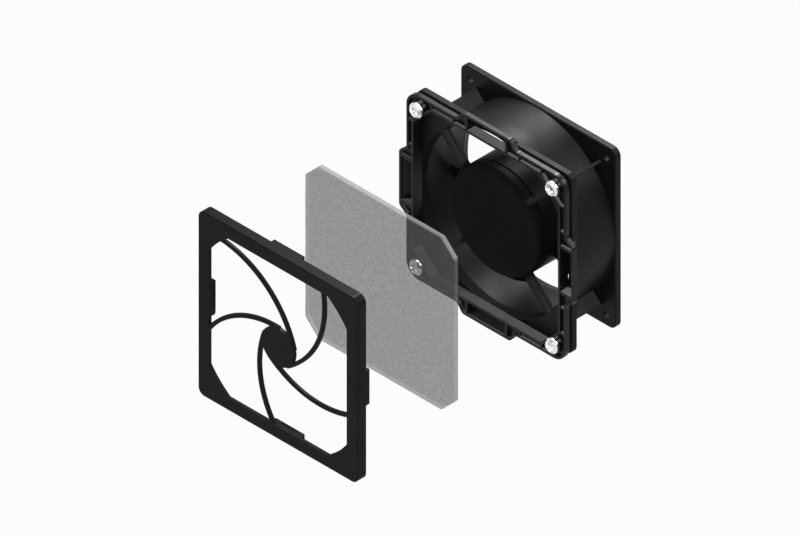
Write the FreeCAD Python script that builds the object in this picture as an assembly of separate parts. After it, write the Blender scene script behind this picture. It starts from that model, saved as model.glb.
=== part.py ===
"""Cabinet filter fan: a 120 mm axial fan with a clip-on filter cover, shown taken apart.

The origin is on the fan's axis, at the middle of the rear flange's mounting face.
+X is to the right seen from the filter side, +Y is the way the air goes, and +Z is up.
Sizes are in millimetres.
"""
import FreeCAD, Part
import math
import os
from FreeCAD import Vector

# Fan housing
FAN_SIZE = 120.0
FAN_DEPTH = 38.0
FAN_CORNER_R = 5.0
FLANGE_T = 4.0
HOLE_INSET = 7.5         # from a hole to the fan's side, on both axes
HOLE_R = 2.15
FRONT_HOLE_R = 2.4       # room for the retainer's screws
DUCT_EDGE = 0.7          # from the duct's outside to the flange's side
DUCT_WALL = 2.8
MOUTH_WALL = 1.1         # duct wall left at the two mouths
MOUTH_DEPTH = 5.0
WEB_T = 1.8
WEB_TO_HOLE = 5.746      # from the web's end to the hole's middle
EDGE_BREAK = 0.6
STRUT_COUNT = 4
STRUT_W = 3.2
STRUT_DEPTH = 5.0
STRUT_GROOVE = 0.4
STRUT_GROOVE_W = 1.6

# Motor base and its cap
HUB_R = 34.4
CAP_RECESS = 0.2         # cap's face behind the flange's face
CAP_T = 1.5
CAP_ROUND = 2.4
CAP_STEPS = 3            # bevels that make the cap's round edge
CAP_FIT = 0.1            # from the cap to the housing round it
BASE_WALL = 1.9
BASE_PLATE_T = 2.0
BASE_POCKET = 1.9        # from the base wall's front edge to its plate
BASE_BOSS_R = 10.0
BASE_BOSS_LENGTH = 5.5

# Bearings and shaft
SHAFT_R = 2.0
BEARING_R = 6.5
BEARING_W = 5.0
RACE_T = 1.25
BALL_CORNER = 1.2247      # a ball's corners beyond its flats, as a share of them
BALL_FIT = 0.05
BALL_COUNT = 7
TUBE_WALL = 1.0
TUBE_REST = 0.6          # from the tube's front end to the front bearing
WASHER_T = 0.8           # spring washer, pressed flat
WASHER_FIT = 0.1
SPACER_T = 1.1
CLIP_T = 0.6
CLIP_R = 4.2
CLIP_GAP = 0.2
CLIP_MOUTH = 2.8
SHAFT_NOSE = 0.4         # shaft that stands out in front of its clip

# Stator
STATOR_FRONT = 6.5       # from the stack to the motor base
STATOR_BACK = 10.0       # from the stack to the mounting face
STATOR_RING_GAP = 0.6    # from the ring round the tube to the coils
POLE_COUNT = 4
POLE_NECK_HALF = 4.0
POLE_SHOE_T = 4.6
SLOT_MOUTH = 3.0
FORMER_T = 0.5
FORMER_FIT = 0.05
FORMER_LIP = 0.4
COIL_T = 4.0
COIL_BEVEL = 2.0
COIL_LENGTH = 5.8
COIL_GAP = 2.1           # from the coil to the pole shoe

# Rotor
AIR_GAP = 0.5
ROTOR_CORE_T = 5.1
ROTOR_CORE_PAST = 1.0    # core past the stator's stack, at both ends
CUP_T = 1.2
IMPELLER_T = 1.5
IMPELLER_BACK = 2.0      # from the hub's end to the mounting face
IMPELLER_BEVEL = 1.6
ROTOR_GAP = 1.1          # from the motor base to the turning hub
CUP_SETBACK = 0.4
CUP_FIT = 0.1            # from the cup to the hub's back
CAGE_BARS = 12
CAGE_BAR_W = 2.6
CAGE_BAR_H = 2.4
CAGE_END_T = 1.6
CAGE_END_RIM = 0.1       # end ring past the bars, on both sides
BUSH_R = 6.0
BUSH_LENGTH = 5.9        # from the bearing tube's back end to the cup's back
BUSH_NOSE_R = 3.1
BUSH_NOSE_LENGTH = 1.6

# Blades
BLADE_COUNT = 5
BLADE_FLATS = 4           # flats along each side of a blade
BLADE_T = 1.6
BLADE_EDGE_T = 0.8
BLADE_CAMBER = 0.07      # share of the chord
BLADE_ROOT_CHORD = 16.0
BLADE_TIP_CHORD = 18.0
BLADE_ROOT_PITCH = 36.0
BLADE_TIP_PITCH = 28.0
BLADE_MIDDLE = 12.0      # from the blade's middle to the mounting face
BLADE_ANGLE = 44.0
BLADE_SINK = 1.0         # how far a blade's root reaches into the hub's wall
BLADE_SPARE = 0.15       # share of its length that a blade is drawn past both ends
TIP_CLEARANCE = 0.8

# Retainer frame
RIM_OVERHANG = 1.6       # past the side of the fan
RIM_CORNER_R = 9.5
RIM_T = 1.5
RIM_DEPTH = 2.9
RETAINER_DEPTH = 6.2
FLOOR_T = 1.0
OPENING_INSET = 4.1      # from the air opening to the fan's side
WALL_T = 1.5
WALL_RISE = 0.3          # inner wall's edge in front of the rim's edge
BOSS_R = 5.2
BOSS_RISE = 0.8          # boss in front of the rim's edge
RIB_T = 1.2
RIB_PLACES = (-42.5, -25.5, 25.5, 42.5)
BUMP_OUT = 5.7
BUMP_TOP_HALF = 18.4
BUMP_FOOT_HALF = 22.8
BUMP_R = 3.2
WINDOW_HALF = 14.5
PILLAR_T = 1.8
POCKET_LIP = 1.3         # straight wall in front of the pocket's slope
POCKET_WALL = 1.7        # slope's wall, measured along the depth
POCKET_FIT = 0.1         # from the slope's end to the fan's side

# Screws and nuts
SCREW_R = 2.0
HEAD_R = 4.7
HEAD_H = 3.1
HEAD_SIDE = 1.2
HEAD_FLAT = 1.6
HEAD_KNEE_R = 3.5
HEAD_KNEE = 0.55         # from the head's top to its knee
HEAD_LAND = 0.04         # from the screw head to the opening's corner cut
RECESS_L = 5.2
RECESS_W = 1.1
RECESS_D = 1.5
NUT_FLATS = 7.0
NUT_H = 3.2
SCREW_TIP = 0.9          # screw that stands out of its nut

# Snap cover
COVER_OVER_RIM = 0.15
COVER_CORNER_R = 5.0
COVER_DEPTH = 6.7
COVER_PLATE_T = 2.2
COVER_SKIRT_T = 3.75
COVER_LEDGE = 4.7        # from the skirt's inside to the opening
COVER_CORNER_CUT = 9.6   # from the opening's square corner to its round one
COVER_INSIDE_R = 1.0
COVER_FIT = 0.1          # from the closed cover to the rim
COVER_BEVEL = 0.6
HUB_DISC_R = 12.5
ARM_COUNT = 5
ARM_W = 2.6
ARM_DEPTH = 2.2
ARM_BEVEL = 0.6
ARM_HOLD = 0.6           # how far an arm's end reaches into the cover
ARM_RADIUS = 63.0
ARM_START_R = 12.0
ARM_ANGLE = -56.7
TAB_HALF = 11.65
TAB_LENGTH = 3.4
TAB_T = 3.75
TAB_RIDGE = 0.45
TAB_RIDGE_BACK = 1.0     # from the ridge to the tab's end
TAB_BEVEL = 0.8

# Filter mat
MAT_T = 3.3
MAT_SIDE_FIT = 0.3
MAT_CHAMFER = 10.2
MAT_FRONT_FIT = 0.1
MAT_POCKET_FIT = 0.5
MAT_POCKET_SKIN = 0.4

# Terminal block
BLOCK_SIDE = 17.0        # from the block's far end to the flange's side
BLOCK_LENGTH = 12.0
BLOCK_EDGE = 2.0         # from the block's foot to the flange's side
BLOCK_H = 12.0
BLOCK_GAP = 3.0          # from the block to each flange
TERMINAL_W = 2.8
TERMINAL_T = 0.8
TERMINAL_OUT = 6.5
TERMINAL_IN = 4.0
TERMINAL_PITCH = 11.0

# How far the mat and the cover stand off
MAT_TRAVEL = 77.8
COVER_TRAVEL = 76.5

# Places worked out from the sizes above
BEYOND = 1.0             # how far a cutting shape reaches past what it cuts
ORIGIN = Vector(0, 0, 0)
TOWARDS_FRONT = Vector(0, -1, 0)
FAN_HALF = FAN_SIZE / 2
FAN_FRONT = -FAN_DEPTH
HOLE_SPACING = FAN_SIZE - 2 * HOLE_INSET
HOLE = HOLE_SPACING / 2
DUCT_R = FAN_HALF - DUCT_EDGE
THROAT_R = DUCT_R - DUCT_WALL
MOUTH_R = DUCT_R - MOUTH_WALL
WEB_END = math.sqrt(2) * HOLE - WEB_TO_HOLE

CAP_FRONT = FAN_FRONT + CAP_RECESS
CAP_BACK = CAP_FRONT + CAP_ROUND
CAP_INSIDE = CAP_FRONT + CAP_T
BASE_FRONT = CAP_BACK
PLATE_FRONT = BASE_FRONT + BASE_POCKET
BASE_BACK = PLATE_FRONT + BASE_PLATE_T

TUBE_R = BEARING_R + TUBE_WALL
CLIP_FRONT = CAP_INSIDE + SHAFT_NOSE + CLIP_GAP
FRONT_BEARING = CLIP_FRONT + CLIP_T + CLIP_GAP
TUBE_FRONT = FRONT_BEARING - TUBE_REST
WASHER_FRONT = FRONT_BEARING + BEARING_W
SPACER_FRONT = WASHER_FRONT + WASHER_T
SHAFT_FRONT = CLIP_FRONT - SHAFT_NOSE

IMPELLER_END = -IMPELLER_BACK
CUP_END = IMPELLER_END - IMPELLER_T - CUP_FIT
TUBE_BACK = CUP_END - BUSH_LENGTH
REAR_BEARING = TUBE_BACK - BEARING_W
IMPELLER_FRONT = BASE_BACK + ROTOR_GAP
CUP_R = HUB_R - IMPELLER_T
CUP_FRONT = IMPELLER_FRONT + CUP_SETBACK
CORE_R = CUP_R - CUP_T
CORE_BORE = CORE_R - ROTOR_CORE_T
CAGE_R = (CORE_R + CORE_BORE) / 2
CAGE_INNER = CAGE_R - CAGE_BAR_H / 2
CAGE_OUTER = CAGE_R + CAGE_BAR_H / 2

STACK_BACK = -STATOR_BACK
STACK_FRONT = BASE_BACK + STATOR_FRONT
CORE_BACK = STACK_BACK + ROTOR_CORE_PAST
CORE_FRONT = STACK_FRONT - ROTOR_CORE_PAST
STATOR_R = CORE_BORE - AIR_GAP
SHOE_R = STATOR_R - POLE_SHOE_T
COIL_OUTER = SHOE_R - COIL_GAP
COIL_INNER = COIL_OUTER - COIL_LENGTH
STATOR_RING_R = COIL_INNER - STATOR_RING_GAP

RIM_HALF = FAN_HALF + RIM_OVERHANG
RIM_FRONT = FAN_FRONT - RETAINER_DEPTH
RIM_BACK = RIM_FRONT + RIM_DEPTH
FLOOR_FRONT = RIM_BACK - FLOOR_T
OPENING_HALF = FAN_HALF - OPENING_INSET
WALL_OUTSIDE = OPENING_HALF + WALL_T
WALL_FRONT = RIM_FRONT - WALL_RISE
BOSS_FRONT = RIM_FRONT - BOSS_RISE
CORNER_CUT = math.sqrt(2) * (math.sqrt(2) * HOLE - HEAD_R - HEAD_LAND)
BUMP_HALF = RIM_HALF + BUMP_OUT
BUMP_INSIDE = BUMP_HALF - RIM_T

HEAD_TOP = BOSS_FRONT - HEAD_H
NUT_FRONT = FAN_FRONT + FLANGE_T
NUT_BACK = NUT_FRONT + NUT_H

COVER_HALF = RIM_HALF + COVER_OVER_RIM
COVER_BACK = RIM_FRONT - COVER_FIT
COVER_FRONT = COVER_BACK - COVER_DEPTH
COVER_PLATE_BACK = COVER_FRONT + COVER_PLATE_T
SKIRT_INSIDE = COVER_HALF - COVER_SKIRT_T
COVER_OPENING_HALF = SKIRT_INSIDE - COVER_LEDGE
COVER_OPENING_R = COVER_OPENING_HALF * math.sqrt(2) - COVER_CORNER_CUT

MAT_HALF = SKIRT_INSIDE - MAT_SIDE_FIT
MAT_FRONT = COVER_PLATE_BACK + MAT_FRONT_FIT
MAT_BACK = MAT_FRONT + MAT_T

BLOCK_FAR = FAN_HALF - BLOCK_SIDE
BLOCK_NEAR = BLOCK_FAR - BLOCK_LENGTH
BLOCK_TOP = FAN_HALF - BLOCK_EDGE - BLOCK_H


def turned(shape, angle):
    """A copy turned about the fan's axis, anticlockwise seen from the front."""
    copy = shape.copy()
    copy.rotate(ORIGIN, TOWARDS_FRONT, angle)
    return copy


def around(shape, count, start=0.0):
    """Evenly spaced copies about the fan's axis."""
    return [turned(shape, start + 360.0 * i / count) for i in range(count)]


def moved(shape, x=0.0, y=0.0, z=0.0):
    copy = shape.copy()
    copy.translate(Vector(x, y, z))
    return copy


def at_holes(shape):
    """One copy on each of the four fixing holes."""
    return [moved(shape, x, 0, z) for x in (-HOLE, HOLE) for z in (-HOLE, HOLE)]


def disc(radius, front, back):
    return Part.makeCylinder(radius, back - front, Vector(0, front, 0), Vector(0, 1, 0))


def ring(radius, bore, front, back):
    return disc(radius, front, back).cut(disc(bore, front - BEYOND, back + BEYOND))


def block(x0, x1, y0, y1, z0, z1):
    return Part.makeBox(x1 - x0, y1 - y0, z1 - z0, Vector(x0, y0, z0))


def revolved(edges):
    """A solid of revolution about the fan's axis, from edges in the plane of X and Y."""
    face = Part.Face(Part.Wire(edges))
    return face.revolve(ORIGIN, Vector(0, 1, 0), 360)


def lines(points):
    """Straight edges through points given as radius and depth."""
    corners = [Vector(r, y, 0) for r, y in points]
    return [Part.LineSegment(a, b).toShape() for a, b in zip(corners, corners[1:])]


def square_corners(half, radius):
    return [(half, -half, radius), (half, half, radius), (-half, half, radius), (-half, -half, radius)]


def chamfered_corners(half, total, radius):
    """A square whose corners are cut where X and Z add up to a total."""
    near = total - half
    first = [(half, -near, radius), (half, near, radius)]
    return quarter_turns(first)


def quarter_turns(first):
    """Corners of one side, repeated on the four sides anticlockwise."""
    corners = []
    for c, s in ((1, 0), (0, 1), (-1, 0), (0, -1)):
        corners += [(x * c - z * s, x * s + z * c, r) for x, z, r in first]
    return corners


def grown(corners, by):
    """An outline moved outwards by a distance, or inwards if it is negative."""
    result = []
    for (xa, za, _), (x, z, r), (xb, zb, _) in neighbours(corners):
        before = Vector(x - xa, 0, z - za).normalize()
        after = Vector(xb - x, 0, zb - z).normalize()
        side_a = Vector(before.z, 0, -before.x)
        side_b = Vector(after.z, 0, -after.x)
        step = (side_a + side_b) * (by / (1 + side_a.dot(side_b)))
        convex = before.x * after.z - before.z * after.x > 0
        radius = max(0.0, r + by if convex else r - by) if r else 0.0
        result.append((x + step.x, z + step.z, radius))
    return result


def neighbours(items):
    return zip(items[-1:] + items[:-1], items, items[1:] + items[:1])


def outline(corners, y):
    """A closed wire through corners of X, Z and radius, at one depth."""
    spans = []
    for (xa, za, _), (x, z, r), (xb, zb, _) in neighbours(corners):
        point = Vector(x, y, z)
        if not r:
            spans.append((point, None, point))
            continue
        back = (Vector(xa, y, za) - point).normalize()
        ahead = (Vector(xb, y, zb) - point).normalize()
        half_angle = back.getAngle(ahead) / 2
        middle = (back + ahead).normalize()
        reach = r / math.tan(half_angle)
        top = point + middle * (r / math.sin(half_angle) - r)
        spans.append((point + back * reach, top, point + ahead * reach))
    edges = []
    for (start, top, end), (following, _, _) in zip(spans, spans[1:] + spans[:1]):
        if top:
            edges.append(Part.Arc(start, top, end).toShape())
        if end.distanceToPoint(following) > 1e-6:
            edges.append(Part.LineSegment(end, following).toShape())
    return Part.Wire(edges)


def prism(corners, front, back):
    return Part.Face(outline(corners, front)).extrude(Vector(0, back - front, 0))


def edges_at_depth(shape, y):
    return [e for e in shape.Edges if all(abs(v.Point.y - y) < 1e-6 for v in e.Vertexes)]


def bevelled(shape, size, y):
    """The shape with a bevel along its outline at one depth."""
    return shape.makeChamfer(size, edges_at_depth(shape, y))


def joined(shapes):
    return shapes[0].fuse(shapes[1:]).removeSplitter()


def air_way():
    """The space inside the duct, which widens towards each mouth."""
    front_throat = FAN_FRONT + MOUTH_DEPTH
    points = [(0, FAN_FRONT - BEYOND), (MOUTH_R, FAN_FRONT - BEYOND), (MOUTH_R, FAN_FRONT)]
    points += [(THROAT_R, front_throat), (THROAT_R, -MOUTH_DEPTH), (MOUTH_R, 0)]
    points += [(MOUTH_R, BEYOND), (0, BEYOND), (0, FAN_FRONT - BEYOND)]
    return revolved(lines(points))


def strut():
    """One strut along +X, with a groove down each side."""
    half = STRUT_W / 2
    inner = half - STRUT_GROOVE
    middle = FAN_FRONT + STRUT_DEPTH / 2
    near, far = middle - STRUT_GROOVE_W / 2, middle + STRUT_GROOVE_W / 2
    side = [(FAN_FRONT, half), (near - STRUT_GROOVE, half), (near, inner)]
    side += [(far, inner), (far + STRUT_GROOVE, half), (FAN_FRONT + STRUT_DEPTH, half)]
    points = side + [(y, -z) for y, z in reversed(side)]
    start = HUB_R - BASE_WALL / 2
    corners = [Vector(start, y, z) for y, z in points]
    wire = Part.makePolygon(corners + corners[:1])
    length = (MOUTH_R + DUCT_R) / 2 - start
    return Part.Face(wire).extrude(Vector(length, 0, 0))


def fan_housing():
    """Cast frame: two flanges, duct, corner webs, struts and motor base."""
    flange = prism(square_corners(FAN_HALF, FAN_CORNER_R), FAN_FRONT, FAN_FRONT + FLANGE_T)
    flange = bevelled(flange, EDGE_BREAK, FAN_FRONT)
    rear = prism(square_corners(FAN_HALF, FAN_CORNER_R), -FLANGE_T, 0)
    rear = bevelled(rear, EDGE_BREAK, -FLANGE_T)
    half, inset = WEB_T / 2, FLANGE_T / 2
    web = block(DUCT_R - DUCT_WALL / 2, WEB_END, FAN_FRONT + inset, -inset, -half, half)
    frame = joined([flange, rear, disc(DUCT_R, FAN_FRONT, 0)] + around(web, 4, 45.0))
    frame = frame.cut(air_way())
    front_holes = (FRONT_HOLE_R, FAN_FRONT - BEYOND, NUT_FRONT + BEYOND)
    rear_holes = (HOLE_R, -FLANGE_T - BEYOND, BEYOND)
    for radius, front, back in (front_holes, rear_holes):
        frame = frame.cut(Part.makeCompound(at_holes(disc(radius, front, back))))
    wall = ring(HUB_R, HUB_R - BASE_WALL, BASE_FRONT, BASE_BACK)
    plate = disc(HUB_R, PLATE_FRONT, BASE_BACK)
    boss = disc(BASE_BOSS_R, TUBE_FRONT, TUBE_FRONT + BASE_BOSS_LENGTH + BASE_PLATE_T)
    frame = joined([frame, wall, plate, boss] + around(strut(), STRUT_COUNT, 45.0))
    cap_room = disc(HUB_R + CAP_FIT, FAN_FRONT - BEYOND, BASE_FRONT)
    cap_room = cap_room.cut(disc(BASE_BOSS_R, FAN_FRONT - BEYOND, BASE_FRONT + BEYOND))
    frame = frame.cut(cap_room)
    return frame.cut(disc(TUBE_R, FAN_FRONT - BEYOND, 0))


def motor_cap():
    """Shallow round cap that closes the motor base."""
    inner = HUB_R - BASE_WALL
    flat = HUB_R - CAP_ROUND
    points = [(0, CAP_INSIDE), (0, CAP_FRONT)]
    for i in range(CAP_STEPS + 1):
        angle = math.pi / 2 * i / CAP_STEPS
        points.append((flat + CAP_ROUND * math.sin(angle), CAP_BACK - CAP_ROUND * math.cos(angle)))
    points += [(inner, CAP_BACK), (inner, CAP_INSIDE), (0, CAP_INSIDE)]
    return revolved(lines(points))


def regular(count, across, y, start=0.0):
    """A regular outline about the fan's axis, measured to the middle of its sides."""
    corner = across / math.cos(math.pi / count)
    angles = [math.radians(start) + 2 * math.pi * i / count for i in range(count)]
    points = [Vector(corner * math.cos(a), y, corner * math.sin(a)) for a in angles]
    return Part.makePolygon(points + points[:1])


def bearing_balls(front):
    """Balls between the two races, with flats in place of round faces to keep them light."""
    middle = (SHAFT_R + BEARING_R) / 2
    radius = BEARING_R - RACE_T - middle - BALL_FIT
    half = radius / BALL_CORNER
    cube = block(-half, half, -half, half, -half, half)
    ball = cube.makeChamfer(half * (2 - math.sqrt(2)), cube.Edges)
    return Part.makeCompound(around(moved(ball, x=middle, y=front + BEARING_W / 2), BALL_COUNT))


def retaining_ring():
    """Open clip in the groove at the shaft's front end."""
    clip = ring(CLIP_R, SHAFT_R, CLIP_FRONT, CLIP_FRONT + CLIP_T)
    half = CLIP_MOUTH / 2
    mouth = block(0, CLIP_R + BEYOND, CLIP_FRONT - BEYOND, CLIP_FRONT + CLIP_T + BEYOND, -half, half)
    return clip.cut(mouth)


def stator_core():
    """Laminated core with four poles, each a neck and a wide shoe."""
    front, back = STACK_FRONT - BEYOND, STACK_BACK + BEYOND
    half = POLE_NECK_HALF
    core = disc(STATOR_R, STACK_FRONT, STACK_BACK)
    winding_room = ring(SHOE_R, STATOR_RING_R, front, back)
    necks = [block(-STATOR_R, STATOR_R, front - BEYOND, back + BEYOND, -half, half)]
    necks.append(turned(necks[0], 90))
    winding_room = winding_room.cut(Part.makeCompound(necks))
    mouth = block(SHOE_R - BEYOND, STATOR_R + BEYOND, front, back, -SLOT_MOUTH / 2, SLOT_MOUTH / 2)
    cuts = [winding_room, disc(TUBE_R, front, back)] + around(mouth, POLE_COUNT, 45.0)
    for cut in cuts:
        core = core.cut(cut)
    return core


def winding_tube(x0, x1, inside, outside, bevel=0.0):
    """A rectangular sleeve round the pole neck along +X."""
    half = POLE_NECK_HALF
    outer = block(x0, x1, STACK_FRONT - outside, STACK_BACK + outside, -half - outside, half + outside)
    if bevel:
        along = [e for e in outer.Edges if abs(e.Vertexes[0].Point.x - e.Vertexes[1].Point.x) > 1e-6]
        outer = outer.makeChamfer(bevel, along)
    reach = x1 + BEYOND
    hole = block(x0 - BEYOND, reach, STACK_FRONT - inside, STACK_BACK + inside, -half - inside, half + inside)
    return outer.cut(hole)


def coil_former():
    """Plastic former on one pole neck, with a flange at each end."""
    inside = FORMER_FIT
    outside = FORMER_FIT + FORMER_T
    tube = winding_tube(COIL_INNER - FORMER_LIP, COIL_OUTER + FORMER_LIP, inside, outside)
    near = winding_tube(COIL_INNER - FORMER_LIP, COIL_INNER, inside, COIL_T)
    far = winding_tube(COIL_OUTER, COIL_OUTER + FORMER_LIP, inside, COIL_T)
    return joined([tube, near, far])


def stator_coil():
    return winding_tube(COIL_INNER, COIL_OUTER, FORMER_FIT + FORMER_T, FORMER_T + COIL_T, COIL_BEVEL)


def rotor_cup():
    """Steel cup that carries the rotor core, with a bore for its bush."""
    cup = disc(CUP_R, CUP_FRONT, CUP_END)
    cup = cup.cut(disc(CORE_R, CUP_FRONT - BEYOND, CUP_END - CUP_T))
    return cup.cut(disc(BUSH_R, CUP_FRONT, CUP_END + BEYOND))


def rotor_bush():
    nose_end = TUBE_BACK + BUSH_NOSE_LENGTH
    nose = disc(BUSH_NOSE_R, TUBE_BACK, nose_end)
    body = disc(BUSH_R, nose_end, CUP_END)
    return joined([nose, body]).cut(disc(SHAFT_R, TUBE_BACK - BEYOND, CUP_END + BEYOND))


def cage_bar():
    """One bar of the squirrel cage, through the whole core."""
    return block(CAGE_INNER, CAGE_OUTER, CORE_FRONT, CORE_BACK, -CAGE_BAR_W / 2, CAGE_BAR_W / 2)


def rotor_core():
    slots = Part.makeCompound(around(cage_bar(), CAGE_BARS))
    return ring(CORE_R, CORE_BORE, CORE_FRONT, CORE_BACK).cut(slots)


def rotor_cage():
    """Bars joined by an end ring at each side, with one flat on the ring at each bar."""
    ends = []
    for y in (CORE_FRONT - CAGE_END_T, CORE_BACK):
        outlines = [regular(CAGE_BARS, r, y, 180.0 / CAGE_BARS)
                    for r in (CAGE_OUTER + CAGE_END_RIM, CAGE_INNER - CAGE_END_RIM)]
        outer, inner = [Part.Face(outline).extrude(Vector(0, CAGE_END_T, 0)) for outline in outlines]
        ends.append(outer.cut(inner))
    return joined(ends + around(cage_bar(), CAGE_BARS))


def blade_section(radius, chord, pitch):
    """Cambered section of a blade along +X, square to its length."""
    angle = math.radians(pitch)
    along = Vector(0, math.sin(angle), math.cos(angle)) * chord
    across = Vector(0, math.cos(angle), -math.sin(angle))
    sides = [], []
    for i in range(BLADE_FLATS + 1):
        share = i / BLADE_FLATS
        swell = 4 * share * (1 - share)
        bow = across * (BLADE_CAMBER * chord * swell)
        middle = Vector(radius, -BLADE_MIDDLE, 0) + along * (share - 0.5) - bow
        half = across * ((BLADE_EDGE_T + (BLADE_T - BLADE_EDGE_T) * swell) / 2)
        sides[0].append(middle + half)
        sides[1].insert(0, middle - half)
    points = sides[0] + sides[1]
    return Part.makePolygon(points + points[:1])


def blade():
    """One twisted blade, from inside the hub's wall to just clear of the duct."""
    tip = THROAT_R - TIP_CLEARANCE
    root = HUB_R - BLADE_SINK
    sections = []
    for share in (-BLADE_SPARE, 1 + BLADE_SPARE):
        chord = BLADE_ROOT_CHORD + (BLADE_TIP_CHORD - BLADE_ROOT_CHORD) * share
        pitch = BLADE_ROOT_PITCH + (BLADE_TIP_PITCH - BLADE_ROOT_PITCH) * share
        sections.append(blade_section(root + (tip - root) * share, chord, pitch))
    loft = Part.makeLoft(sections, True, True)
    return loft.common(ring(tip, root, FAN_FRONT, 0))


def impeller():
    """Hub shell closed at the back, with its blades."""
    hub = disc(HUB_R, IMPELLER_FRONT, IMPELLER_END)
    hub = bevelled(hub, IMPELLER_BEVEL, IMPELLER_END)
    hub = hub.cut(disc(CUP_R, IMPELLER_FRONT - BEYOND, IMPELLER_END - IMPELLER_T))
    return joined([hub] + around(blade(), BLADE_COUNT, BLADE_ANGLE))


def rim_outline():
    """Outside of the retainer, with a rounded bump in the middle of each side."""
    foot, top = BUMP_FOOT_HALF, BUMP_TOP_HALF
    side = [(RIM_HALF, -foot, BUMP_R), (BUMP_HALF, -top, BUMP_R), (BUMP_HALF, top, BUMP_R)]
    side += [(RIM_HALF, foot, BUMP_R), (RIM_HALF, RIM_HALF, RIM_CORNER_R)]
    return quarter_turns(side)


def side_prism(points, half):
    """A prism along the middle of the right side, from points of X and Y."""
    corners = [Vector(x, y, -half) for x, y in points]
    wire = Part.makePolygon(corners + corners[:1])
    return Part.Face(wire).extrude(Vector(0, 0, 2 * half))


def pocket_body():
    """Walls round one clip window, with a back that slopes in to the fan's side."""
    foot = FAN_HALF + POCKET_FIT
    slope = BUMP_INSIDE + RIM_FRONT + POCKET_LIP + POCKET_WALL
    points = [(WALL_OUTSIDE - WALL_T / 2, RIM_FRONT), (BUMP_INSIDE + RIM_T / 2, RIM_FRONT)]
    points += [(BUMP_INSIDE + RIM_T / 2, RIM_BACK), (slope - RIM_BACK, RIM_BACK), (foot, slope - foot)]
    points += [(foot, FAN_FRONT), (WALL_OUTSIDE - WALL_T / 2, FAN_FRONT)]
    return side_prism(points, WINDOW_HALF + PILLAR_T)


def pocket_room():
    """The room in one clip window, for a tab of the cover."""
    slope = BUMP_INSIDE + RIM_FRONT + POCKET_LIP
    mouth = RIM_FRONT - BEYOND
    points = [(WALL_OUTSIDE, mouth), (BUMP_INSIDE, mouth), (BUMP_INSIDE, slope - BUMP_INSIDE)]
    points += [(slope - FAN_FRONT, FAN_FRONT), (WALL_OUTSIDE, FAN_FRONT)]
    return side_prism(points, WINDOW_HALF)


def retainer_frame():
    """Shallow tray round the air opening, with clip pockets and screw bosses."""
    rim = rim_outline()
    opening = chamfered_corners(OPENING_HALF, CORNER_CUT, 0)
    tray = prism(rim, RIM_FRONT, RIM_BACK)
    tray = tray.cut(prism(grown(rim, -RIM_T), RIM_FRONT - BEYOND, FLOOR_FRONT))
    wall = prism(grown(opening, WALL_T), WALL_FRONT, FAN_FRONT)
    bosses = at_holes(disc(BOSS_R, BOSS_FRONT, FAN_FRONT))
    rib_end = RIM_HALF - RIM_T / 2
    half = RIB_T / 2
    ribs = []
    for place in RIB_PLACES:
        rib = block(WALL_OUTSIDE - WALL_T / 2, rib_end, RIM_FRONT, RIM_BACK, place - half, place + half)
        ribs += around(rib, 4)
    frame = joined([tray, wall] + bosses + ribs + around(pocket_body(), 4))
    cuts = around(pocket_room(), 4) + [prism(opening, BOSS_FRONT - BEYOND, FAN_FRONT + BEYOND)]
    cuts += at_holes(disc(FRONT_HOLE_R, BOSS_FRONT - BEYOND, FAN_FRONT + BEYOND))
    for cut in cuts:
        frame = frame.cut(cut)
    return frame


def retainer_screw():
    """Pan-head screw with a cross recess, on the fan's axis."""
    tip = NUT_BACK + SCREW_TIP
    shoulder = BOSS_FRONT - HEAD_SIDE
    points = [(0, HEAD_TOP), (HEAD_FLAT, HEAD_TOP), (HEAD_KNEE_R, HEAD_TOP + HEAD_KNEE), (HEAD_R, shoulder)]
    points += [(HEAD_R, BOSS_FRONT), (SCREW_R, BOSS_FRONT), (SCREW_R, tip), (0, tip), (0, HEAD_TOP)]
    screw = revolved(lines(points))
    long_half, half = RECESS_L / 2, RECESS_W / 2
    slot = block(-long_half, long_half, HEAD_TOP - BEYOND, HEAD_TOP + RECESS_D, -half, half)
    return screw.cut(slot).cut(turned(slot, 90))


def retainer_nut():
    corner = NUT_FLATS / math.sqrt(3)
    angles = [math.radians(60 * i) for i in range(6)]
    corners = [(corner * math.cos(a), corner * math.sin(a), 0) for a in angles]
    return prism(corners, NUT_FRONT, NUT_BACK).cut(disc(SCREW_R, NUT_FRONT - BEYOND, NUT_BACK + BEYOND))


def cover_arm():
    """One curved arm of the cover, an arc that leaves the hub disc along its edge."""
    offset = ARM_RADIUS - ARM_START_R
    reach = COVER_OPENING_R + ARM_W
    sweep = math.acos((offset ** 2 + ARM_RADIUS ** 2 - reach ** 2) / (2 * offset * ARM_RADIUS))
    away = math.radians(ARM_ANGLE + 180)
    half = ARM_W / 2
    front, back = COVER_FRONT, COVER_FRONT + ARM_DEPTH
    points = [(-half, back), (-half, front + ARM_BEVEL), (ARM_BEVEL - half, front)]
    points += [(-x, y) for x, y in reversed(points)]
    corners = [Vector(ARM_RADIUS + x, y, 0) for x, y in points]
    wire = Part.makePolygon(corners + corners[:1])
    bow = Part.Face(wire).revolve(ORIGIN, TOWARDS_FRONT, math.degrees(sweep))
    bow.rotate(ORIGIN, TOWARDS_FRONT, ARM_ANGLE)
    bow.translate(Vector(offset * math.cos(away), 0, offset * math.sin(away)))
    return bow


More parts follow.
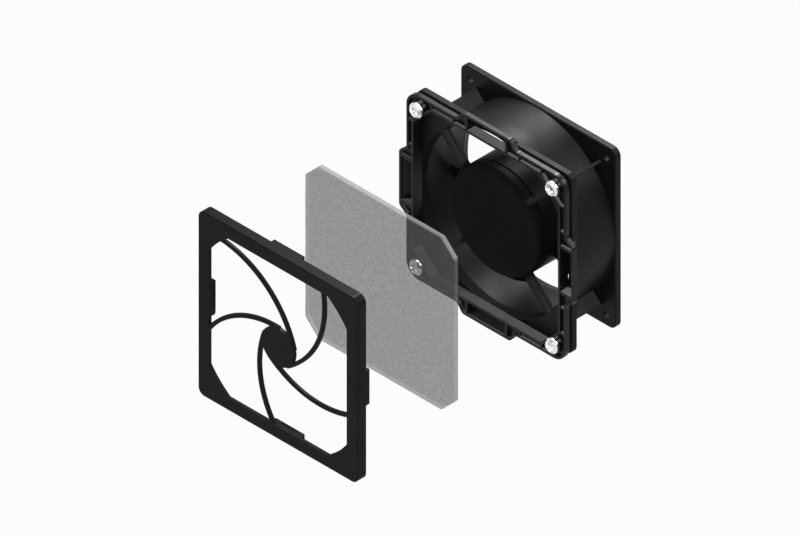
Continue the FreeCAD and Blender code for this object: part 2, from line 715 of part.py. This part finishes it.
def snap_cover():
    """Square cover with a swirl guard and a clip tab in the middle of each side."""
    frame = prism(square_corners(COVER_HALF, COVER_CORNER_R), COVER_FRONT, COVER_BACK)
    frame = bevelled(frame, COVER_BEVEL, COVER_FRONT)
    room = square_corners(SKIRT_INSIDE, COVER_INSIDE_R)
    frame = frame.cut(prism(room, COVER_PLATE_BACK, COVER_BACK + BEYOND))
    opening = prism(square_corners(COVER_OPENING_HALF, 0), COVER_FRONT - BEYOND, COVER_PLATE_BACK + BEYOND)
    opening = opening.common(disc(COVER_OPENING_R, COVER_FRONT - BEYOND, COVER_PLATE_BACK + BEYOND))
    frame = frame.cut(opening)
    reach = prism(square_corners(COVER_OPENING_HALF + ARM_HOLD, 0), COVER_FRONT, COVER_PLATE_BACK)
    reach = reach.common(disc(COVER_OPENING_R + ARM_HOLD, COVER_FRONT, COVER_PLATE_BACK))
    arm = cover_arm()
    arms = [copy.common(reach) for copy in around(arm, ARM_COUNT)]
    inside = COVER_HALF - TAB_T
    tab = block(inside, COVER_HALF, COVER_PLATE_BACK, COVER_BACK + TAB_LENGTH, -TAB_HALF, TAB_HALF)
    end = COVER_BACK + TAB_LENGTH
    outer_end = [edge for edge in edges_at_depth(tab, end) if edge.CenterOfMass.x > inside + BEYOND]
    tab = tab.makeChamfer(TAB_BEVEL, outer_end)
    ridge_foot = Vector(inside, end - TAB_RIDGE_BACK, -TAB_HALF / 2)
    ridge = Part.makeCylinder(TAB_RIDGE, TAB_HALF, ridge_foot, Vector(0, 0, 1))
    clip = joined([tab, ridge])
    hub = disc(HUB_DISC_R, COVER_FRONT, COVER_PLATE_BACK)
    return joined([frame, hub] + arms + around(clip, 4))


def filter_mat():
    """Square mat with cut corners, and a pocket behind each corner for a screw head."""
    mat = prism(chamfered_corners(MAT_HALF, 2 * MAT_HALF - MAT_CHAMFER, 0), MAT_FRONT, MAT_BACK)
    pocket = disc(HEAD_R + MAT_POCKET_FIT, MAT_FRONT + MAT_POCKET_SKIN, MAT_BACK + BEYOND)
    return mat.cut(Part.makeCompound(at_holes(pocket)))


def terminals():
    """The two flat terminals, and the block that holds them against the duct."""
    foot = -FAN_HALF + BLOCK_EDGE
    level = foot + TERMINAL_T
    middle = FAN_FRONT / 2
    tabs = []
    for offset in (-TERMINAL_PITCH / 2, TERMINAL_PITCH / 2):
        y = middle + offset
        x0, x1 = -BLOCK_NEAR - TERMINAL_IN, -BLOCK_NEAR + TERMINAL_OUT
        tabs.append(block(x0, x1, y - TERMINAL_W / 2, y + TERMINAL_W / 2, level, level + TERMINAL_T))
    pins = Part.makeCompound(tabs)
    y0, y1 = FAN_FRONT + FLANGE_T + BLOCK_GAP, -FLANGE_T - BLOCK_GAP
    body = block(-BLOCK_FAR, -BLOCK_NEAR, y0, y1, foot, -BLOCK_TOP)
    body = body.cut(disc(DUCT_R, FAN_FRONT, 0)).cut(pins)
    return body, pins


def build():
    """Every piece by name, with the mat and the cover standing off in front."""
    body, pins = terminals()
    race_out, race_in = BEARING_R - RACE_T, SHAFT_R + RACE_T
    front_end, rear_end = FRONT_BEARING + BEARING_W, REAR_BEARING + BEARING_W
    return {
        "fan_housing": fan_housing(),
        "motor_cap": motor_cap(),
        "bearing_tube": ring(TUBE_R, BEARING_R, TUBE_FRONT, TUBE_BACK),
        "front_bearing_outer": ring(BEARING_R, race_out, FRONT_BEARING, front_end),
        "front_bearing_balls": bearing_balls(FRONT_BEARING),
        "front_bearing_inner": ring(race_in, SHAFT_R, FRONT_BEARING, front_end),
        "rear_bearing_outer": ring(BEARING_R, race_out, REAR_BEARING, rear_end),
        "rear_bearing_balls": bearing_balls(REAR_BEARING),
        "rear_bearing_inner": ring(race_in, SHAFT_R, REAR_BEARING, rear_end),
        "disc_spring": ring(BEARING_R - WASHER_FIT, race_out, WASHER_FRONT, SPACER_FRONT),
        "bearing_spacer": ring(BEARING_R, BEARING_R - SPACER_T, SPACER_FRONT, REAR_BEARING),
        "shaft": disc(SHAFT_R, SHAFT_FRONT, CUP_END),
        "retaining_ring": retaining_ring(),
        "stator_core": stator_core(),
        "coil_formers": Part.makeCompound(around(coil_former(), POLE_COUNT)),
        "stator_coils": Part.makeCompound(around(stator_coil(), POLE_COUNT)),
        "rotor_cup": rotor_cup(),
        "rotor_bush": rotor_bush(),
        "rotor_core": rotor_core(),
        "rotor_cage": rotor_cage(),
        "impeller": impeller(),
        "terminal_block": body,
        "terminal_tabs": pins,
        "retainer_frame": retainer_frame(),
        "retainer_screws": Part.makeCompound(at_holes(retainer_screw())),
        "retainer_nuts": Part.makeCompound(at_holes(retainer_nut())),
        "filter_mat": moved(filter_mat(), y=-MAT_TRAVEL),
        "snap_cover": moved(snap_cover(), y=-MAT_TRAVEL - COVER_TRAVEL),
    }


os.makedirs("parts", exist_ok=True)
for name, shape in build().items():
    shape.exportStep("parts/" + name + ".step")
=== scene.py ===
"""Looks of the cabinet filter fan: materials, the filter mat, light and camera. Lengths are in metres."""
import math

import bmesh
import bpy
from mathutils import Matrix, Vector

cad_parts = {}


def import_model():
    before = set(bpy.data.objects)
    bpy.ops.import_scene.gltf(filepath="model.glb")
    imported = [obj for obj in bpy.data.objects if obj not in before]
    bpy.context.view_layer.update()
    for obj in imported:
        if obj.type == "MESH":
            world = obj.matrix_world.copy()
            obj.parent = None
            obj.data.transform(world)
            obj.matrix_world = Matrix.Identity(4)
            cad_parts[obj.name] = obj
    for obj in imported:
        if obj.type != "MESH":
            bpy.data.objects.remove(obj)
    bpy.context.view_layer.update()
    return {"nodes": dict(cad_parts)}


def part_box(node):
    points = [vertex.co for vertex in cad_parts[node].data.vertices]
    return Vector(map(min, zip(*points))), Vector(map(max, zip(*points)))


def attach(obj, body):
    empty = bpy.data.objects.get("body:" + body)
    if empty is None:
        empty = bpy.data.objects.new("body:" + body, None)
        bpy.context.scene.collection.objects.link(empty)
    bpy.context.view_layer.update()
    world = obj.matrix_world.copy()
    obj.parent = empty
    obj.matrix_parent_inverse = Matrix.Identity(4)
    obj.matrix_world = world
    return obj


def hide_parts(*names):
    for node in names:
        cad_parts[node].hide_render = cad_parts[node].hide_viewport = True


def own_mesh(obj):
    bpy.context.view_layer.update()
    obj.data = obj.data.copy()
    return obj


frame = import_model()

MM = 0.001

# Camera: a parallel view from the right, the front and above, equally from all three
VIEW_FROM = Vector((1, -1, 1)).normalized()
LOOK_AT = Vector((-38.8, -71.9, -33.1)) * MM
CAMERA_DISTANCE = 2.0
VIEW_WIDTH = 437.4 * MM

# Light: two strong boxes that show in reflections only, about where the top faces and the faces sloped to
# the right mirror the camera's view, a fill from the front for diffuse light only, a wide box overhead,
# and the sky. Only the box overhead and the sky cast shadows.
TOP_SHINE_WAY = Vector((-0.38, 0.58, 0.72)).normalized()
TOP_SHINE_RADIANCE = 45.0
SIDE_SHINE_WAY = Vector((0.55, 0.58, 0.60)).normalized()
SIDE_SHINE_RADIANCE = 17.0
SHINE_DISTANCE = 0.9
SHINE_SIZE = 0.30, 0.30
FILL_WAY = Vector((0.55, -0.75, 0.36)).normalized()
FILL_DISTANCE = 1.8
FILL_SIZE = 1.2, 1.2
FILL_RADIANCE = 1.6
OVERHEAD_PLACE = Vector((0.2, -0.3, 1.3))
OVERHEAD_AIM = Vector((0, -0.1, 0))
OVERHEAD_SIZE = 1.2, 1.2
OVERHEAD_RADIANCE = 1.0
FAN_TOP = Vector((30, -30, 60)) * MM
SKY_STRENGTH = 0.4

# Floor: where it is seen directly, this share of it glows plain white, and the rest shows the fan's shadow
FLOOR_LEVEL = -0.30
FLOOR_SIZE = 12
FLOOR_GLOW = 0.95

# Plastic: the scale and the depth of its spark-eroded grain
GRAIN = 2600.0
GRAIN_DEPTH = 0.009 * MM

# Paint: radii between which the motor base's dull coat turns into the duct's satin one
DULL_MIDDLE = 35.5 * MM, 38.0 * MM

# Filter mat
MAT_EDGE_ROUND = 0.35 * MM
MAT_CHAMFER = 10.2 * MM
MAT_GRID = 48
MAT_LOFT = 0.12 * MM        # greatest depth of the waves
MAT_WAVE_X = 210.0          # waves of the felt's faces, in radians to the metre
MAT_WAVE_Z = 173.0
MAT_WAVE_ACROSS = 331.0
MAT_WAVE_START = 1.3
MAT_SHARP = math.radians(50)
MAT_SKIN = 0.4 * MM         # felt left in front of a screw head's pocket
SCREW_AT = 52.5 * MM
POCKET_R = 5.2 * MM
POCKET_SIDES = 48
POCKET_LENGTH = 6 * MM      # from a pocket's floor to well behind the mat

# Which faces of the felt count as a pocket's floor or wall
AT_PLACE = 0.01 * MM
WITHIN_POCKET = 1.001 * POCKET_R
NEAR_WALL = 0.98 * POCKET_R
FACES_SCREW = 0.95          # least cosine between a wall's face and the way to the screw


class Nodes:
    """The node tree of a material or a world, with short calls for what this scene needs."""

    def __init__(self, owner, output="ShaderNodeOutputMaterial"):
        owner.use_nodes = True
        self.owner = owner
        self.tree = owner.node_tree
        self.tree.nodes.clear()
        self.output = self.add(output)

    def add(self, kind, inputs=None, **settings):
        """A new node of a kind, with its settings and with what goes into its sockets."""
        node = self.tree.nodes.new(kind)
        for key, value in settings.items():
            setattr(node, key, value)
        for key, value in (inputs or {}).items():
            self.put(node.inputs[key], value)
        return node

    def put(self, socket, value):
        """Links a socket to another node's output, or sets it to a plain value."""
        if isinstance(value, bpy.types.NodeSocket):
            self.tree.links.new(value, socket)
        else:
            socket.default_value = value

    def place(self):
        """Where a point lies in its piece's own space, in metres."""
        return self.add("ShaderNodeTexCoord").outputs["Object"]

    def noise(self, scale, detail, stretch=None):
        """Cloudy noise from 0 to 1, with about so many blotches to the metre."""
        where = self.place()
        if stretch:
            where = self.add("ShaderNodeMapping", {"Vector": where, "Scale": stretch}).outputs["Vector"]
        found = self.add("ShaderNodeTexNoise", {"Vector": where, "Scale": scale, "Detail": detail})
        return found.outputs["Fac"]

    def remap(self, value, low, high, to_low, to_high):
        """A value that runs from low to high, made to run between two others."""
        inputs = {"Value": value, "From Min": low, "From Max": high, "To Min": to_low, "To Max": to_high}
        return self.add("ShaderNodeMapRange", inputs).outputs["Result"]

    def blend(self, factor, first, second):
        """The first colour where the factor is 0, the second where it is 1."""
        mix = self.add("ShaderNodeMix", data_type="RGBA")
        self.put(mix.inputs[0], factor)
        self.put(mix.inputs[6], first)
        self.put(mix.inputs[7], second)
        return mix.outputs[2]

    def bump(self, height, distance, strength, normal=None):
        """A normal tilted by a height, on top of another normal if there is one."""
        inputs = {"Height": height, "Distance": distance, "Strength": strength}
        if normal is not None:
            inputs["Normal"] = normal
        return self.add("ShaderNodeBump", inputs).outputs["Normal"]

    def edge_mask(self, radius):
        """1 on sharp edges, 0 on flat faces, and the softened normal.

        The mask rises where the two normals are from about 10 to 32 degrees apart."""
        soft = self.add("ShaderNodeBevel", {"Radius": radius}, samples=6).outputs["Normal"]
        plain = self.add("ShaderNodeNewGeometry").outputs["Normal"]
        dot = self.add("ShaderNodeVectorMath", operation="DOT_PRODUCT")
        self.put(dot.inputs[0], soft)
        self.put(dot.inputs[1], plain)
        return self.remap(dot.outputs["Value"], 0.985, 0.85, 0.0, 1.0), soft

    def surface(self, shader):
        """Puts a shader on the surface and gives back the material or the world."""
        self.tree.links.new(shader, self.output.inputs["Surface"])
        return self.owner


def new_material(name):
    """The nodes of a new, empty material."""
    return Nodes(bpy.data.materials.new(name))


def grey(value):
    """An opaque grey, very slightly blue."""
    return (value, value, value * 1.03, 1.0)


def moulded(name, value, roughness, specular, wear=1.8):
    """Moulded plastic: fine spark-eroded grain, uneven gloss and paler worn edges."""
    nodes = new_material(name)
    mask, soft = nodes.edge_mask(0.35 * MM)
    cloud = nodes.noise(38.0, 4.0)
    base = nodes.blend(nodes.remap(cloud, 0.3, 0.7, 0.0, 1.0), grey(value * 0.85), grey(value * 1.2))
    worn = nodes.add("ShaderNodeMath", operation="MULTIPLY")
    nodes.put(worn.inputs[0], mask)
    nodes.put(worn.inputs[1], nodes.remap(nodes.noise(160.0, 5.0), 0.35, 0.65, 0.15, 0.8))
    colour = nodes.blend(worn.outputs[0], base, grey(value * wear + 0.01))
    rough = nodes.remap(nodes.noise(90.0, 4.0), 0.3, 0.7, roughness - 0.05, roughness + 0.06)
    normal = nodes.bump(nodes.noise(GRAIN, 2.0), GRAIN_DEPTH, 0.5, soft)
    shader = nodes.add("ShaderNodeBsdfPrincipled", {
        "Base Color": colour, "Roughness": rough, "Normal": normal, "Specular IOR Level": specular})
    return nodes.surface(shader.outputs[0])


def painted_casting(name, value, roughness, specular):
    """Satin black paint over a cast surface, with a faint orange peel, duller on the motor base."""
    nodes = new_material(name)
    mask, soft = nodes.edge_mask(0.4 * MM)
    cloud = nodes.noise(24.0, 3.0)
    base = nodes.blend(nodes.remap(cloud, 0.3, 0.7, 0.0, 1.0), grey(value * 0.85), grey(value * 1.2))
    colour = nodes.blend(nodes.remap(mask, 0.0, 1.0, 0.0, 0.6), base, grey(value * 2.0 + 0.012))
    rough = nodes.remap(nodes.noise(60.0, 4.0), 0.3, 0.7, roughness - 0.05, roughness + 0.06)
    peel = nodes.bump(nodes.noise(700.0, 2.0), 0.03 * MM, 0.45, soft)
    normal = nodes.bump(nodes.noise(3200.0, 1.0), 0.008 * MM, 0.5, peel)
    place = nodes.add("ShaderNodeSeparateXYZ", {"Vector": nodes.place()})
    flat = nodes.add("ShaderNodeCombineXYZ", {"X": place.outputs["X"], "Z": place.outputs["Z"]})
    radius = nodes.add("ShaderNodeVectorMath", {0: flat.outputs["Vector"]}, operation="LENGTH")
    gloss = nodes.remap(radius.outputs["Value"], *DULL_MIDDLE, 0.2 * specular, specular)
    shader = nodes.add("ShaderNodeBsdfPrincipled", {
        "Base Color": colour, "Roughness": rough, "Normal": normal, "Specular IOR Level": gloss})
    return nodes.surface(shader.outputs[0])


def metal(name, colour, roughness, stretch=(1, 1, 1), streak=900.0, depth=0.004 * MM):
    """Bare or plated metal with fine machining or plating marks."""
    nodes = new_material(name)
    marks = nodes.noise(streak, 3.0, stretch)
    darker = tuple(c * 0.82 for c in colour[:3]) + (1.0,)
    tone = nodes.blend(nodes.remap(marks, 0.35, 0.65, 0.0, 1.0), darker, colour)
    rough = nodes.remap(nodes.noise(260.0, 3.0), 0.3, 0.7, roughness - 0.06, roughness + 0.08)
    normal = nodes.bump(marks, depth, 0.6, nodes.edge_mask(0.15 * MM)[1])
    shader = nodes.add("ShaderNodeBsdfPrincipled", {
        "Base Color": tone, "Metallic": 1.0, "Roughness": rough, "Normal": normal})
    return nodes.surface(shader.outputs[0])


def laminated(name):
    """Stack of thin steel sheets: fine dark lines across the fan's axis."""
    nodes = new_material(name)
    inputs = {"Vector": nodes.place(), "Scale": 320.0, "Distortion": 0.2}
    wave = nodes.add("ShaderNodeTexWave", inputs, bands_direction="Y")
    lines = nodes.remap(wave.outputs["Fac"], 0.1, 0.5, 0.0, 1.0)
    tone = nodes.blend(lines, (0.06, 0.06, 0.065, 1), (0.32, 0.33, 0.35, 1))
    normal = nodes.bump(wave.outputs["Fac"], 0.05 * MM, 0.6)
    shader = nodes.add("ShaderNodeBsdfPrincipled", {
        "Base Color": tone, "Metallic": 1.0, "Roughness": 0.42, "Normal": normal})
    return nodes.surface(shader.outputs[0])


def winding(name):
    """Enamelled copper wire, wound side by side."""
    nodes = new_material(name)
    inputs = {"Vector": nodes.place(), "Scale": 560.0, "Distortion": 1.2, "Detail": 2.0}
    wave = nodes.add("ShaderNodeTexWave", inputs, bands_direction="DIAGONAL")
    tone = nodes.blend(wave.outputs["Fac"], (0.22, 0.06, 0.02, 1), (0.62, 0.25, 0.09, 1))
    normal = nodes.bump(wave.outputs["Fac"], 0.12 * MM, 0.8)
    shader = nodes.add("ShaderNodeBsdfPrincipled", {
        "Base Color": tone, "Metallic": 1.0, "Roughness": 0.35, "Normal": normal})
    return nodes.surface(shader.outputs[0])


def mat_fibre(name):
    """Grey non-woven fibre mat: see-through, mottled and finely felted. Its upper cut sides are painted
    paler, as painted light from above.
    """
    nodes = new_material(name)
    fine = nodes.noise(1300.0, 2.0, (0.5, 1.0, 1.0))
    coarse = nodes.noise(420.0, 3.0)
    tone = nodes.blend(nodes.remap(fine, 0.38, 0.62, 0.0, 1.0), grey(0.152), grey(0.108))
    tone = nodes.blend(nodes.remap(coarse, 0.3, 0.7, 0.0, 0.2), tone, grey(0.15))
    facing = nodes.add("ShaderNodeSeparateXYZ")
    nodes.put(facing.inputs[0], nodes.add("ShaderNodeNewGeometry").outputs["Normal"])
    turned = nodes.add("ShaderNodeMath", operation="ABSOLUTE")
    nodes.put(turned.inputs[0], facing.outputs["Y"])
    side = nodes.remap(turned.outputs[0], 0.75, 0.35, 0.0, 1.0)
    # Painted light: cut sides that face up are painted much paler than the other cut sides, as if lit from
    # above
    painted_top_light = nodes.remap(facing.outputs["Z"], 0.2, 0.6, 0.0, 1.0)
    tone = nodes.blend(side, tone, nodes.blend(painted_top_light, grey(0.24), grey(0.8)))
    height = nodes.add("ShaderNodeMath", operation="ADD")
    nodes.put(height.inputs[0], fine)
    nodes.put(height.inputs[1], coarse)
    normal = nodes.bump(height.outputs[0], 0.2 * MM, 0.5)
    cover = nodes.remap(fine, 0.38, 0.62, 0.455, 0.545)
    cover = nodes.blend(side, cover, (0.45, 0.45, 0.45, 1))
    cloth = nodes.add("ShaderNodeBsdfPrincipled", {
        "Base Color": tone, "Roughness": 0.85, "Normal": normal, "Specular IOR Level": 0.1, "Alpha": cover})
    return nodes.surface(cloth.outputs[0])


def unseen(name):
    """For the faces inside the felt, where one piece of it joins the next."""
    nodes = new_material(name)
    return nodes.surface(nodes.add("ShaderNodeBsdfTransparent").outputs[0])


def dress_cad_nodes():
    """A material for every CAD piece that shows or hides inside."""
    housing = painted_casting("black_casting", 0.008, 0.46, 0.08)
    cap = moulded("black_cap", 0.009, 0.45, 0.012)
    blades = moulded("black_blades", 0.008, 0.42, 0.025)
    retainer = moulded("black_retainer", 0.008, 0.32, 0.13)
    cover = moulded("charcoal_cover", 0.011, 0.42, 0.04)
    block = moulded("black_block", 0.02, 0.5, 0.3)
    former = moulded("natural_former", 0.6, 0.5, 0.4, wear=1.0)
    zinc = metal("bright_zinc", (0.86, 0.87, 0.89, 1), 0.27)
    steel = metal("ground_steel", (0.62, 0.63, 0.65, 1), 0.28, (1, 6, 1))
    brass = metal("turned_brass", (0.80, 0.60, 0.26, 1), 0.3, (1, 6, 1))
    cast_aluminium = metal("cast_aluminium", (0.72, 0.73, 0.75, 1), 0.45, streak=400.0, depth=0.02 * MM)
    sheets = laminated("steel_sheets")
    copper = winding("copper_winding")
    wearing = {
        housing: ["fan_housing"],
        cap: ["motor_cap"],
        blades: ["impeller"],
        retainer: ["retainer_frame"],
        cover: ["snap_cover"],
        block: ["terminal_block"],
        former: ["coil_formers"],
        zinc: ["retainer_screws", "retainer_nuts"],
        steel: ["shaft", "retaining_ring", "disc_spring", "bearing_spacer", "rotor_cup"],
        brass: ["bearing_tube", "rotor_bush", "terminal_tabs"],
        cast_aluminium: ["rotor_cage"],
        sheets: ["stator_core", "rotor_core"],
        copper: ["stator_coils"],
    }
    for side in ("front", "rear"):
        wearing[steel] += [f"{side}_bearing_{part}" for part in ("outer", "inner", "balls")]
    for material, names in wearing.items():
        for name in names:
            dress(frame["nodes"][name], material)


def dress(piece, material):
    """Gives a piece one material in place of all others."""
    piece.data.materials.clear()
    piece.data.materials.append(material)


def placed(name, mesh):
    """An object made of a bmesh, which is freed."""
    data = bpy.data.meshes.new(name)
    mesh.to_mesh(data)
    mesh.free()
    piece = bpy.data.objects.new(name, data)
    bpy.context.scene.collection.objects.link(piece)
    return piece


def felted_sheet(low, high):
    """A sheet that fills a box, with cut corners, softly rounded edges and slight waves inwards."""
    cut = MAT_CHAMFER
    left, right, bottom, top = low.x, high.x, low.z, high.z
    outline = [(left + cut, bottom), (right - cut, bottom), (right, bottom + cut), (right, top - cut)]
    outline += [(right - cut, top), (left + cut, top), (left, top - cut), (left, bottom + cut)]
    mesh = bmesh.new()
    face = mesh.faces.new([mesh.verts.new((x, low.y, z)) for x, z in outline])
    swept = bmesh.ops.extrude_face_region(mesh, geom=[face])
    back = [part for part in swept["geom"] if isinstance(part, bmesh.types.BMVert)]
    bmesh.ops.translate(mesh, verts=back, vec=(0, high.y - low.y, 0))
    bmesh.ops.bevel(mesh, geom=list(mesh.edges), offset=MAT_EDGE_ROUND, segments=2, affect="EDGES")
    for step in range(1, MAT_GRID):
        for axis in (0, 2):
            point, way = Vector(), Vector()
            point[axis] = low[axis] + (high[axis] - low[axis]) * step / MAT_GRID
            way[axis] = 1
            everything = mesh.verts[:] + mesh.edges[:] + mesh.faces[:]
            bmesh.ops.bisect_plane(mesh, geom=everything, plane_co=point, plane_no=way)
    bmesh.ops.recalc_face_normals(mesh, faces=mesh.faces[:])
    for vertex in mesh.verts:
        x, y, z = vertex.co
        wave = math.sin(x * MAT_WAVE_X + MAT_WAVE_START) * math.sin(z * MAT_WAVE_Z)
        wave += math.sin((x + z) * MAT_WAVE_ACROSS) * 0.5
        depth = MAT_LOFT * (1.0 + wave / 1.5) / 2
        vertex.co.y += depth if y < (low.y + high.y) / 2 else -depth
    return mesh


def pocket_cutter(front):
    """Round bars, from the pockets' floors backwards, where the mat meets the screw heads."""
    mesh = bmesh.new()
    lying = Matrix.Rotation(math.pi / 2, 4, "X")
    for x in (-SCREW_AT, SCREW_AT):
        for z in (-SCREW_AT, SCREW_AT):
            where = Matrix.Translation((x, front + POCKET_LENGTH / 2, z)) @ lying
            bmesh.ops.create_cone(
                mesh, cap_ends=True, segments=POCKET_SIDES, radius1=POCKET_R, radius2=POCKET_R,
                depth=POCKET_LENGTH, matrix=where)
    return placed("pocket_cutter", mesh)


def keep_part(piece, cutter, operation):
    """Leaves of a piece what is outside the cutter, by DIFFERENCE, or inside it, by INTERSECT."""
    change = piece.modifiers.new("pockets", "BOOLEAN")
    change.object = cutter
    change.solver = "EXACT"
    change.operation = operation
    changed = piece.evaluated_get(bpy.context.evaluated_depsgraph_get())
    data = bpy.data.meshes.new_from_object(changed)
    piece.modifiers.clear()
    piece.data = data


def is_pocket_face(face, front):
    """True for the floor and the round wall of a pocket, where the corner's felt meets the rest."""
    x, y, z = face.center
    from_screw = Vector((abs(x) - SCREW_AT, 0, abs(z) - SCREW_AT))
    if from_screw.length > WITHIN_POCKET or y < front - AT_PLACE:
        return False
    if y < front + AT_PLACE:
        return True
    outwards = Vector((math.copysign(1, x) * face.normal.x, 0, math.copysign(1, z) * face.normal.z))
    return abs(outwards.dot(from_screw.normalized())) > FACES_SCREW and from_screw.length > NEAR_WALL


def filter_mat():
    """The mat as felt, in its solid's place, with a piece of its own for what the screw heads press flat."""
    low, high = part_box("filter_mat")
    front = low.y + MAT_SKIN
    felt = placed("filter_mat_felt", felted_sheet(low, high))
    corners = felt.copy()
    corners.name = "filter_mat_corners"
    corners.data = felt.data.copy()
    bpy.context.scene.collection.objects.link(corners)
    cutter = pocket_cutter(front)
    keep_part(felt, cutter, "DIFFERENCE")
    keep_part(corners, cutter, "INTERSECT")
    bpy.data.objects.remove(cutter)
    fibre, seam = mat_fibre("filter_fibre"), unseen("felt_seam")
    for piece in (felt, corners):
        dress(piece, fibre)
        piece.data.materials.append(seam)
        for face in piece.data.polygons:
            face.use_smooth = True
            face.material_index = int(is_pocket_face(face, front))
        piece.data.set_sharp_from_angle(angle=MAT_SHARP)
        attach(piece, "filter")
        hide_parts("filter_mat")
    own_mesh(corners)


def seen_directly(nodes):
    """1 for camera, glossy and transmission rays, so that they all see the white background."""
    path = nodes.add("ShaderNodeLightPath")
    total = path.outputs["Is Camera Ray"]
    for name in ("Is Glossy Ray", "Is Transmission Ray"):
        larger = nodes.add("ShaderNodeMath", operation="MAXIMUM")
        nodes.put(larger.inputs[0], total)
        nodes.put(larger.inputs[1], path.outputs[name])
        total = larger.outputs[0]
    return total


def floor():
    """Plain pale floor well below the fan, which hangs on its panel mount."""
    nodes = new_material("pale_floor")
    matt = nodes.add("ShaderNodeBsdfDiffuse", {"Color": (0.9, 0.9, 0.9, 1)})
    white = nodes.add("ShaderNodeEmission", {"Color": (1, 1, 1, 1), "Strength": 1.0})
    share = nodes.add("ShaderNodeMath", operation="MULTIPLY")
    nodes.put(share.inputs[0], seen_directly(nodes))
    nodes.put(share.inputs[1], FLOOR_GLOW)
    mix = nodes.add("ShaderNodeMixShader")
    nodes.put(mix.inputs[0], share.outputs[0])
    nodes.put(mix.inputs[1], matt.outputs[0])
    nodes.put(mix.inputs[2], white.outputs[0])
    bpy.ops.mesh.primitive_plane_add(size=FLOOR_SIZE, location=(0, 0, FLOOR_LEVEL))
    plane = bpy.context.object
    plane.name = "floor"
    dress(plane, nodes.surface(mix.outputs[0]))


def world():
    """White to the camera and in reflections, and a soft even light otherwise."""
    scene_world = bpy.data.worlds.new("studio")
    bpy.context.scene.world = scene_world
    nodes = Nodes(scene_world, "ShaderNodeOutputWorld")
    seen = nodes.add("ShaderNodeBackground", {"Color": (1, 1, 1, 1), "Strength": 1.0})
    light = nodes.add("ShaderNodeBackground", {"Color": (1, 1, 1, 1), "Strength": SKY_STRENGTH})
    mix = nodes.add("ShaderNodeMixShader")
    nodes.put(mix.inputs[0], seen_directly(nodes))
    nodes.put(mix.inputs[1], light.outputs[0])
    nodes.put(mix.inputs[2], seen.outputs[0])
    nodes.surface(mix.outputs[0])


def softbox(name, place, aim, sides, radiance):
    """An oblong lamp with an even brightness, out of the camera's sight."""
    lamp = bpy.data.lights.new(name, "AREA")
    lamp.shape = "RECTANGLE"
    lamp.size, lamp.size_y = sides
    lamp.energy = radiance * math.pi * lamp.size * lamp.size_y
    holder = bpy.data.objects.new(name, lamp)
    bpy.context.scene.collection.objects.link(holder)
    holder.location = place
    holder.rotation_euler = (aim - place).to_track_quat("-Z", "Y").to_euler()
    holder.visible_camera = False
    return holder


def lights():
    """The lamps. The side shine is sampled one way only, so that what stands in its way doesn't hide it."""
    top = "top_shine", TOP_SHINE_WAY, TOP_SHINE_RADIANCE, True
    side = "side_shine", SIDE_SHINE_WAY, SIDE_SHINE_RADIANCE, False
    for name, way, radiance, both_ways in (top, side):
        shine = softbox(name, FAN_TOP + way * SHINE_DISTANCE, FAN_TOP, SHINE_SIZE, radiance)
        shine.visible_diffuse = False
        shine.data.use_shadow = False
        shine.data.cycles.use_multiple_importance_sampling = both_ways
    fill = softbox("front_fill", FILL_WAY * FILL_DISTANCE, Vector(), FILL_SIZE, FILL_RADIANCE)
    fill.visible_glossy = False
    fill.data.use_shadow = False
    softbox("overhead_box", OVERHEAD_PLACE, OVERHEAD_AIM, OVERHEAD_SIZE, OVERHEAD_RADIANCE)


def camera():
    """The photograph's view, without perspective."""
    data = bpy.data.cameras.new("camera")
    data.type = "ORTHO"
    data.ortho_scale = VIEW_WIDTH
    holder = bpy.data.objects.new("camera", data)
    bpy.context.scene.collection.objects.link(holder)
    holder.location = LOOK_AT + VIEW_FROM * CAMERA_DISTANCE
    holder.rotation_euler = (-VIEW_FROM).to_track_quat("-Z", "Y").to_euler()
    bpy.context.scene.camera = holder


dress_cad_nodes()
filter_mat()
floor()
world()
lights()
camera()
bpy.context.scene.view_settings.view_transform = "Standard"
